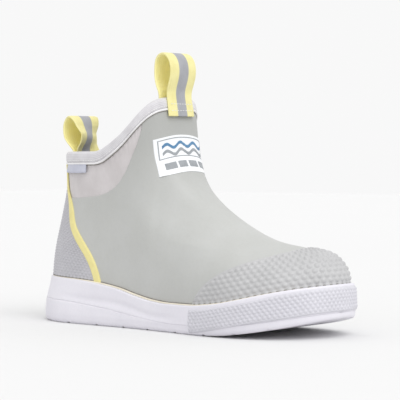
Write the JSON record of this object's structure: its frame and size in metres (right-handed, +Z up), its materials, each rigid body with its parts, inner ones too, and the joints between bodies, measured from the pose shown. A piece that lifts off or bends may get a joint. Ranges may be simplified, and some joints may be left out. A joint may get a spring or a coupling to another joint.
{
  "type": "deck boot",
  "caption": "Ankle-high slip-on rubber deck boot for the right foot with a white sole unit, bumped toe cap, knit side gussets and two webbing pull straps.",
  "frame": {"origin": "middle of the bounding box in plan, on the ground plane under the sole", "axes": "+X towards the toe, +Z up, -Y towards the outer (little toe) side of this right boot"},
  "size_m": [0.2821, 0.1055, 0.2082],
  "materials": {
    "sole_white": "satin moulded rubber",
    "midsole_white": "matt moulded foam, very faint lavender white",
    "band_grey_white": "moulded rubber with raised relief",
    "upper_grey": "matt hand-laid rubber",
    "toe_grey": "matt rubber with moulded bumps",
    "gusset_grey": "fine knit faced foam",
    "binding_grey": "ribbed stretch binding tape",
    "piping_white": "smooth white piping",
    "strap_yellow": "woven webbing",
    "strap_grey": "woven webbing",
    "stripe_yellow": "matt rubber",
    "label_white": "printed label, satin",
    "mark_blue": "printed mark",
    "mark_grey": "printed mark",
    "tag_grey": "folded woven tag",
    "thread_white": "sewing thread",
    "welt_cream": "cement line, cream",
    "lining_grey": "brushed knit lining",
    "foam_dark": "soft foam footbed",
    "footbed_cloth": "woven top cloth",
    "board_brown": "stitched fibre board",
    "stiffener_white": "formed thermoplastic sheet",
    "shank_black": "glass filled nylon"
  },
  "bodies": {
    "boot": {"outsole": "sole_white", "midsole": "midsole_white", "toe_foxing_band": "band_grey_white", "shank": "shank_black", "insole_board": "board_brown", "rubber_upper": "upper_grey", "gusset_outer_side": "gusset_grey", "gusset_inner_side": "gusset_grey", "toe_cap": "toe_grey", "toe_puff": "stiffener_white", "heel_stiffener": "stiffener_white", "lining": "lining_grey", "heel_stripe_outer_side": "stripe_yellow", "heel_stripe_inner_side": "stripe_yellow", "heel_cover": "toe_grey", "welt_cord": "welt_cream", "collar_binding": "binding_grey", "collar_piping": "piping_white", "rear_tag": "tag_grey", "front_label": "label_white", "label_wave_upper": "mark_blue", "label_wave_lower": "mark_grey", "label_bars": "mark_grey", "label_frame": "mark_grey", "front_loop_outer_tail": "strap_yellow", "front_loop_inner_tail": "strap_yellow", "front_tail_stripe": "strap_grey", "rear_loop_tail": "strap_yellow", "tail_stitches": "thread_white"},
    "front_loop": {"front_pull_loop": "strap_yellow", "front_loop_stripe": "strap_grey"},
    "rear_loop": {"rear_pull_loop": "strap_yellow", "rear_loop_stripe": "strap_grey"},
    "insole": {"footbed": "foam_dark", "footbed_cover": "footbed_cloth"}
  },
  "joints": [
    {"name": "front_loop_fold", "type": "hinge", "parent": "boot", "child": "front_loop", "pos_m": [-0.0144, -0.0015, 0.1706], "axis": [0, 1, 0], "range_deg": [-32, 50]},
    {"name": "rear_loop_fold", "type": "hinge", "parent": "boot", "child": "rear_loop", "pos_m": [-0.1189, -0.0015, 0.1302], "axis": [0, 1, 0], "range_deg": [-50, 16]},
    {"name": "footbed_lift", "type": "hinge", "parent": "boot", "child": "insole", "pos_m": [0.1285, 0.006, 0.0402], "axis": [0, 1, 0], "range_deg": [0, 4]}
  ]
}
